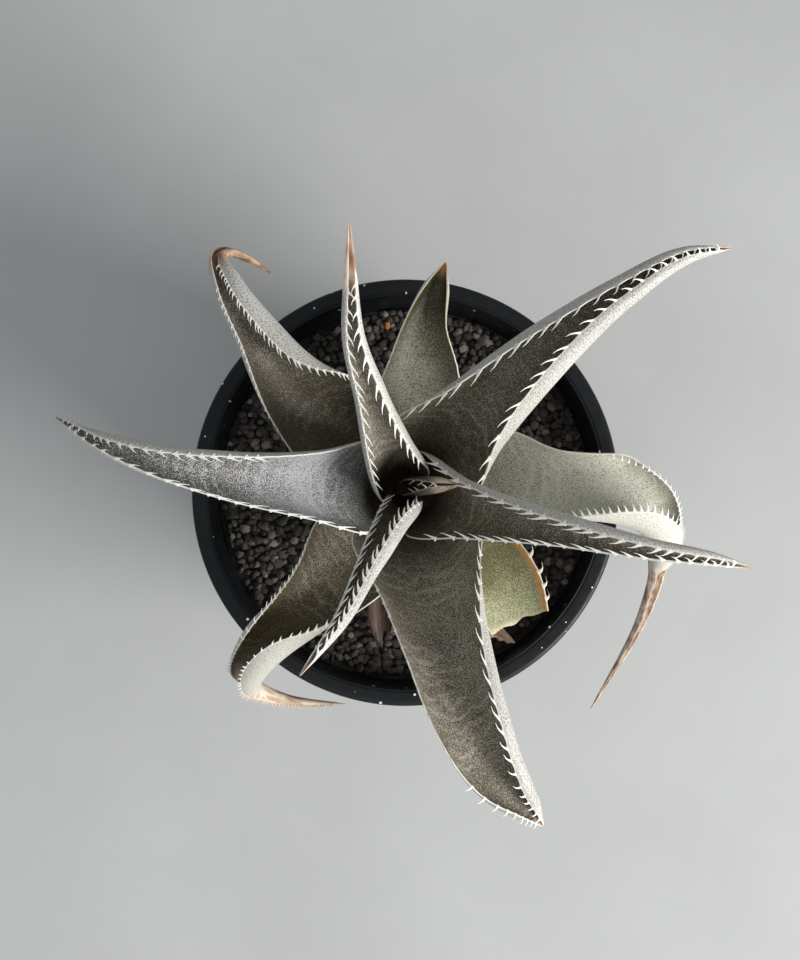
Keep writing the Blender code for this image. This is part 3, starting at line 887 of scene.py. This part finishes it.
# The pot: a turned shell with a flat lip, its edge broken and a fine line round the inside.
# foot gives distances in from the base's edge with heights, and lip distances in from the rim
# with depths below the top. The rows are heights at which the two sides of the wall are cut.
potForm = dict(
    height=125, rim=75, lipWidth=6, base=54, floor=2.4, wall=1.6, sides=160, sharp=35,
    foot=[(14, 0), (5, 0), (1.2, 0.25), (0.3, 0.9)], outerRows=(2, 20, 45, 70, 95, 110, 123),
    lip=[(2, 1.6), (1.6, 2), (1.6, 8.7), (1.3, 9), (0.3, 9), (0, 8.7), (0, 1.5), (0.25, 0.75),
         (0.75, 0.25), (1.3, 0.08), (1.9, 0), (4.6, 0), (4.95, 0.28), (5.25, 0.28), (5.5, 0.05),
         (5.75, 0.12)],
    innerRows=(124.4, 121, 110, 95, 70, 45, 20, 4.4), coveRun=1.5, coveRise=0.3, flatFrom=4,
    drains=8, drainRadius=5, drainCircle=34, drainSides=32, drainDepth=20,
)
plasticForm = dict(
    colour=(0.0038, 0.0049, 0.0062), roughness=0.42, lighter=2.1, cloud=45.0, cloudRough=0.6,
    dust=(0.75, 0.76, 0.76), dustSize=340.0, dustHeight=(0.112, 0.122), dustAmount=(0.02, 0.3),
    specular=0.3, wear=300.0, wearEdge=(0.3, 0.7), wearShine=(0.36, 0.5), grain=1600.0,
    bump=0.12, bumpDepth=0.0001,
)


def buildPotMaterial():
    form = plasticForm
    made, tree, shader = newMaterial("potPlastic", form["roughness"], form["colour"])
    spot = objectPlace(tree)
    height = split(tree, spot)[2]
    settled = span(tree, height, *form["dustHeight"], *form["dustAmount"])  # mostly on the rim
    specks = useGroup(tree, dust, Place=spot, Size=form["dustSize"], Amount=settled)["Dust"]
    cloud = noise(tree, spot, form["cloud"], 3.0, form["cloudRough"])
    lighter = tuple(form["lighter"] * c for c in form["colour"])
    ground = blendColour(tree, cloud, form["colour"], lighter)
    feed(tree, shader.inputs["Base Color"], blendColour(tree, specks, ground, form["dust"]))
    wear = noise(tree, spot, form["wear"], 3.0)
    shader.inputs["Specular IOR Level"].default_value = form["specular"]
    worn = span(tree, wear, *form["wearEdge"], *form["wearShine"])
    feed(tree, shader.inputs["Roughness"], worn)
    addBump(tree, shader, noise(tree, spot, form["grain"]), form["bump"], form["bumpDepth"])
    return made


def potWall(height, outer=True):
    form = potForm
    top = form["rim"] - form["lipWidth"] + form["wall"]
    radius = form["base"] + (top - form["base"]) * height / form["height"]
    return radius if outer else radius - form["wall"]


def potProfile():
    # from the middle of the base out, up the outside, over the lip and down the inside
    form = potForm
    floor = form["floor"]
    profile = [(0, 0.0), *((form["base"] - inset, height) for inset, height in form["foot"])]
    profile += [(potWall(z), z) for z in form["outerRows"]]
    profile += [(form["rim"] - inset, form["height"] - drop) for inset, drop in form["lip"]]
    profile += [(potWall(z, False), z) for z in form["innerRows"]]
    profile.append((potWall(floor, False) - form["coveRun"], floor + form["coveRise"]))
    return [*profile, (potWall(0, False) - form["flatFrom"], floor), (0, floor)]


def drillDrains(pot):
    form = potForm
    cutterMesh = bmesh.new()
    radius, circle = form["drainRadius"] * mm, form["drainCircle"] * mm
    for index in range(form["drains"]):
        angle = math.tau * (index + 0.5) / form["drains"]
        spot = Matrix.Translation((circle * math.cos(angle), circle * math.sin(angle), 0))
        bmesh.ops.create_cone(
            cutterMesh, cap_ends=True, segments=form["drainSides"], radius1=radius,
            radius2=radius, depth=form["drainDepth"] * mm, matrix=spot,
        )
    cutter = finishMesh("drain_cutter", cutterMesh, [])
    cut = pot.modifiers.new("drains", "BOOLEAN")
    cut.operation = "DIFFERENCE"
    cut.object = cutter
    bpy.context.view_layer.update()
    graph = bpy.context.evaluated_depsgraph_get()
    cutPot = bpy.data.meshes.new_from_object(pot.evaluated_get(graph))
    pot.modifiers.clear()
    pot.data = cutPot
    bpy.data.objects.remove(cutter, do_unlink=True)


def buildPot():
    bm = spinProfile(potProfile(), potForm["sides"])
    pointOutwards(bm)
    pot = finishMesh("pot_shell", bm, [buildPotMaterial()], potForm["sharp"])
    drillDrains(pot)
    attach(pot, "root")
    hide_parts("pot")


buildPot()
print("pot turned and drained")

# Gravel: a bed coloured near-black, as painted shade in the gaps between the grains, with a
# layer of angular grains lying on it. bed is how far the bed lies below the top, and each special
# grain has a place, a size and a tint, 0.5 orange or 1 cream.
gravelForm = dict(
    top=110, bed=1.2, bottom=2.9, wallRows=(90, 60, 30, 3.5), rings=14, sides=96, bump=0.6,
    pocket=23.9, stemRoot=14.3, stemDepth=16.3, gap=0.3, margin=1, paintedGapShade=0.05, sharp=50,
    grain=(1.25, 2.2), large=1.2, largeShare=0.12, spacing=2.5, rowStep=0.87, stray=0.38, seed=7,
    clearPocket=0.4, clearWall=0.75, lightness=4.5, shade=(0.15, 0.85), flat=(0.65, 0.95),
    low=(0.55, 0.85), lie=(0.1, 1.3), proud=0.8, dent=0.16, segments=6, layers=4,
    special=[((-6.5, 60.5), 1.9, 0.5), ((-40.5, -50.5), 2.3, 1.0)], specialShade=0.9,
)
stoneForm = dict(
    colour=(0.03, 0.025, 0.02), roughness=0.85, grit=1800.0, gritRough=0.7, gritShare=0.5,
    dark=(0.004, 0.0036, 0.0032), light=(0.22, 0.19, 0.165),
    orange=((0.30, 0.12, 0.03), (0.45, 0.22, 0.08)), orangeFrom=(0.2, 0.5),
    cream=((0.50, 0.46, 0.27), (0.66, 0.62, 0.42)), creamFrom=(0.6, 0.9), bump=0.5,
    bumpDepth=0.0003,
)


def buildGravelMaterial():
    form = stoneForm
    made, tree, shader = newMaterial("gravelStone", form["roughness"], form["colour"])
    tint = readAttribute(tree, "tint")
    grit = noise(tree, objectPlace(tree), form["grit"], 3.0, form["gritRough"])
    rough = centred(tree, grit, form["gritShare"])
    level = calc(tree, "ADD", readAttribute(tree, "shade"), rough, clamp=True)
    colour = blendColour(tree, level, form["dark"], form["light"])
    orange = blendColour(tree, grit, *form["orange"])
    cream = blendColour(tree, grit, *form["cream"])
    colour = blendColour(tree, span(tree, tint, *form["orangeFrom"]), colour, orange)
    colour = blendColour(tree, span(tree, tint, *form["creamFrom"]), colour, cream)
    feed(tree, shader.inputs["Base Color"], colour)
    addBump(tree, shader, grit, form["bump"], form["bumpDepth"])
    return made


def unitPebble():
    bm = bmesh.new()
    bmesh.ops.create_uvsphere(
        bm, u_segments=gravelForm["segments"], v_segments=gravelForm["layers"], radius=1.0
    )
    shadeSmooth(bm)
    return keepMesh("pebble", bm)


def gravelBed(outer, rand):
    form = gravelForm
    top, pocket = form["top"], form["pocket"]
    level, deep = top - form["bed"], top - form["stemDepth"]
    rings = range(form["rings"] + 1)
    profile = [(0, deep), (form["stemRoot"], deep)]
    profile += [(pocket + (outer - pocket) * k / form["rings"], level) for k in rings]
    profile += [(potWall(z, False) - form["gap"], z) for z in form["wallRows"]]
    bm = spinProfile([*profile, (0, form["bottom"])], form["sides"])
    shade = bm.verts.layers.float.new("shade")
    bm.verts.layers.float.new("tint")
    pointOutwards(bm)
    for vert in bm.verts:
        reach = math.hypot(vert.co.x, vert.co.y) / mm
        onTop = abs(vert.co.z - level * mm) < 0.1 * mm
        if onTop and pocket + form["margin"] < reach < outer - form["margin"]:
            vert.co.z += rand.uniform(-form["bump"], form["bump"]) * mm
        # the bed's near-black level is painted shade in the gaps between the grains
        vert[shade] = form["paintedGapShade"]
    return bm


def grainSpots(outer, rand):
    # (x, y, size, lightness, tint) of every grain, on a loose triangular grid
    form = gravelForm
    step, stray, spots = form["spacing"], form["stray"], []
    cells = int(outer / step / form["rowStep"]) + 2
    for i in range(-cells, cells + 1):
        for j in range(-cells, cells + 1):
            x = (i + 0.5 * (j % 2) + rand.uniform(-stray, stray)) * step
            y = (j * form["rowStep"] + rand.uniform(-stray, stray)) * step
            size = rand.uniform(*form["grain"])
            size *= form["large"] if rand.random() < form["largeShare"] else 1.0
            most = outer - form["clearWall"] * size
            if form["pocket"] + form["clearPocket"] < math.hypot(x, y) < most:
                spots.append((x, y, size, rand.random() ** form["lightness"], 0.0))
    for (x, y), size, tint in form["special"]:
        spots.append((x, y, size, form["specialShade"], tint))
    return spots


def buildGravel():
    form = gravelForm
    pebble = unitPebble()
    outer = potWall(form["top"], False) - form["gap"]
    rand = random.Random(form["seed"])
    bm = gravelBed(outer, rand)
    grains = bmesh.new()
    grainShade = grains.verts.layers.float.new("shade")
    grainTint = grains.verts.layers.float.new("tint")
    darkest, spread = form["shade"]
    spots = grainSpots(outer, rand)
    for x, y, size, level, tint in spots:
        angle = rand.uniform(0, math.tau)
        axis = Vector((rand.gauss(0, 1), rand.gauss(0, 1), rand.gauss(0, 1)))
        turn = Matrix.Rotation(angle, 4, axis)
        shape = Matrix.Diagonal((1.0, rand.uniform(*form["flat"]), rand.uniform(*form["low"]), 1))
        z = form["top"] - form["bed"] + rand.uniform(*form["lie"]) + (form["proud"] if tint else 0)
        place = Matrix.Translation((x * mm, y * mm, z * mm)) @ turn @ shape
        for vert in addCopy(grains, pebble):
            dent = Vector((rand.uniform(-1, 1), rand.uniform(-1, 1), rand.uniform(-1, 1)))
            vert.co += dent * form["dent"]
            vert.co = place @ (vert.co * size * mm)
            vert[grainShade] = darkest + spread * level
            vert[grainTint] = tint
    pointOutwards(grains)
    joinInto(bm, grains)
    piece = finishMesh("gravel_bed", bm, [buildGravelMaterial()], form["sharp"])
    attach(piece, "root")
    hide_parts("gravel")
    return len(spots)


print("gravel laid,", buildGravel(), "grains")

# Stem: a squat cone with the scars of old leaf bases, and its root in the gravel.
stemForm = dict(
    depth=16, root=14, shoulder=23.6, top=3.2, rise=30, scars=9, notch=0.25, rootRows=5,
    rows=36, sides=72, sharp=60, colour=(0.16, 0.11, 0.07), roughness=0.8,
    fibre=(1, 1, 0.25), fibreSize=900.0, fibreDetail=4.0, fibreRough=0.7, fibreEdge=(0.35, 0.65),
    dark=(0.030, 0.020, 0.013), light=(0.14, 0.10, 0.065), blotchSize=120.0,
    blotchEdge=(0.45, 0.7), blotch=(0.07, 0.05, 0.03), bump=0.6, bumpDepth=0.0004,
)


def buildStemMaterial():
    form = stemForm
    made, tree, shader = newMaterial("stemFibre", form["roughness"], form["colour"])
    spot = objectPlace(tree)
    lines = stretch(tree, spot, form["fibre"])
    fibre = noise(tree, lines, form["fibreSize"], form["fibreDetail"], form["fibreRough"])
    blotch = span(tree, noise(tree, spot, form["blotchSize"]), *form["blotchEdge"])
    colour = blendColour(tree, span(tree, fibre, *form["fibreEdge"]), form["dark"], form["light"])
    feed(tree, shader.inputs["Base Color"], blendColour(tree, blotch, colour, form["blotch"]))
    addBump(tree, shader, fibre, form["bump"], form["bumpDepth"])
    return made


def buildStem():
    form = stemForm
    base, depth = gravelForm["top"], form["depth"]
    profile = [(0, base - depth), (form["root"], base - depth)]
    for k in range(1, form["rootRows"] + 1):
        radius = form["root"] + (form["shoulder"] - form["root"]) * k / form["rootRows"]
        profile.append((radius, base - depth * (1 - k / form["rootRows"])))
    for k in range(1, form["rows"] + 1):
        t = k / form["rows"]
        notch = form["notch"] * (math.cos(form["scars"] * math.tau * t) - 1)
        radius = form["shoulder"] + (form["top"] - form["shoulder"]) * t + notch
        profile.append((radius, base + form["rise"] * t))
    bm = spinProfile([*profile, (0, base + form["rise"])], form["sides"])
    pointOutwards(bm)
    piece = finishMesh("stem_cone", bm, [buildStemMaterial()], form["sharp"])
    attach(piece, "root")
    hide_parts("stem")


buildStem()
print("stem built")

# Floor, light and camera. The floor lies a hair below the pot's base.
room = dict(
    floor=(0.50, 0.51, 0.505), roughness=0.85, drop=0.1, half=4.0, cloud=6.0, cloudDetail=5.0,
    cloudRough=0.55, cloudEdge=(0.3, 0.7), shades=(0.94, 1.05), world=(0.86, 0.885, 0.92),
    ambient=0.40,
)
lamps = dict(
    key=dict(place=(1.2, -0.7, 0.80), size=(0.9, 0.9), power=36, colour=(1.0, 0.985, 0.96)),
    fill=dict(place=(-0.3, -1.2, 1.6), size=(1.6, 1.2), power=5, colour=(0.96, 0.98, 1.0)),
)
lampTarget = (0, 0, 0.1)
view = dict(
    target=(-0.0019, 0.0039, 0.125), distance=0.600, elevation=87.0, lens=64.2, nearest=0.01
)


def buildFloor():
    bm = bmesh.new()
    bmesh.ops.create_grid(bm, x_segments=1, y_segments=1, size=room["half"])
    bmesh.ops.translate(bm, verts=bm.verts, vec=(0, 0, -room["drop"] * mm))
    made, tree, shader = newMaterial("floorPlaster", room["roughness"], room["floor"])
    cloud = noise(tree, objectPlace(tree), room["cloud"], room["cloudDetail"], room["cloudRough"])
    darker, lighter = (tuple(share * c for c in room["floor"]) for share in room["shades"])
    colour = blendColour(tree, span(tree, cloud, *room["cloudEdge"]), darker, lighter)
    feed(tree, shader.inputs["Base Color"], colour)
    return finishMesh("floor", bm, [made])


def addLight(name, place, size, power, colour):
    lamp = bpy.data.lights.new(name, "AREA")
    lamp.shape = "RECTANGLE"
    lamp.size, lamp.size_y = size
    lamp.energy = power
    lamp.color = colour
    made = bpy.data.objects.new(name, lamp)
    scene.collection.objects.link(made)
    made.location = place
    made.rotation_euler = (Vector(lampTarget) - made.location).to_track_quat("-Z", "Y").to_euler()


def addWorld():
    scene.world = bpy.data.worlds.new("studio")
    scene.world.use_nodes = True
    background = scene.world.node_tree.nodes["Background"]
    background.inputs["Color"].default_value = (*room["world"], 1)
    background.inputs["Strength"].default_value = room["ambient"]


def addCamera():
    lens = bpy.data.cameras.new("camera")
    lens.lens = view["lens"]
    lens.clip_start = view["nearest"]
    camera = bpy.data.objects.new("camera", lens)
    scene.collection.objects.link(camera)
    lift = math.radians(view["elevation"])
    away = Vector((0, -math.cos(lift), math.sin(lift)))
    camera.location = Vector(view["target"]) + view["distance"] * away
    camera.rotation_euler = (math.pi / 2 - lift, 0, 0)
    scene.camera = camera


floor = buildFloor()
addWorld()
for name, lamp in lamps.items():
    addLight(name, **lamp)
addCamera()
print("room lit, camera placed")
